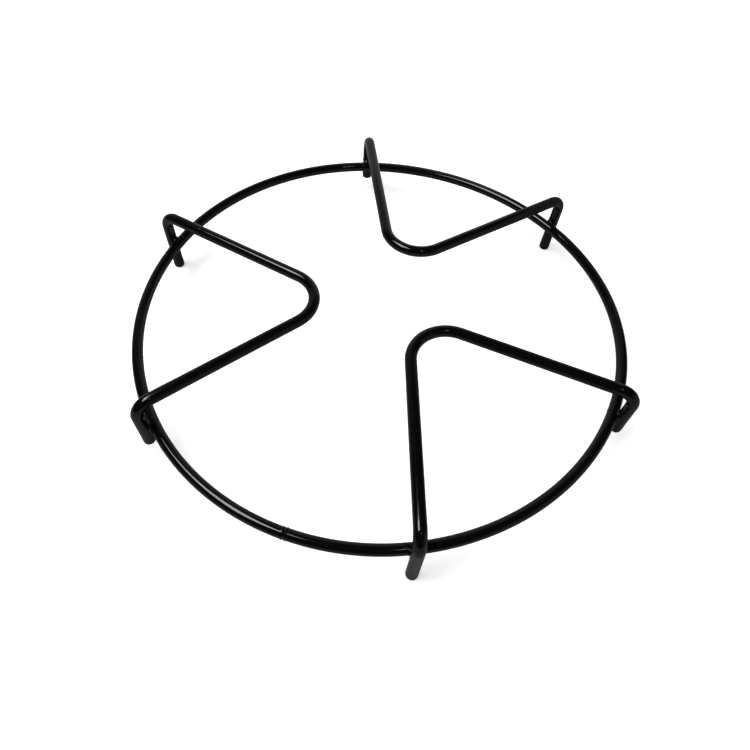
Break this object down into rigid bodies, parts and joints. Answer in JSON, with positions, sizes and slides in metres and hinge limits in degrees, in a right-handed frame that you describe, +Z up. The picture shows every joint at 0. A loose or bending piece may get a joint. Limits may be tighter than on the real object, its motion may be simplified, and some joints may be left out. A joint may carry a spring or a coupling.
{
  "type": "side burner grate",
  "caption": "Round wire grate for a side burner: a hoop welded to V-shaped bent-rod arms that hold a pan, standing on legs at its rim.",
  "frame": {"origin": "on the floor under the hoop's axis, in the plane of the long legs' ends", "axes": "+Z up along the hoop's axis; +Y towards the middle of arm_1; arm_2 lies 120 degrees further round and arm_3 240 degrees, counter-clockwise seen from above"},
  "size_m": [0.2442, 0.235, 0.0376],
  "materials": {
    "enamel": "black gloss vitreous enamel on steel rod"
  },
  "bodies": {
    "root": {"hoop": "enamel", "arm_1": "enamel", "arm_2": "enamel", "arm_3": "enamel", "weld_1_long": "enamel", "weld_1_short": "enamel", "weld_2_long": "enamel", "weld_2_short": "enamel", "weld_3_long": "enamel", "weld_3_short": "enamel"}
  },
  "joints": []
}
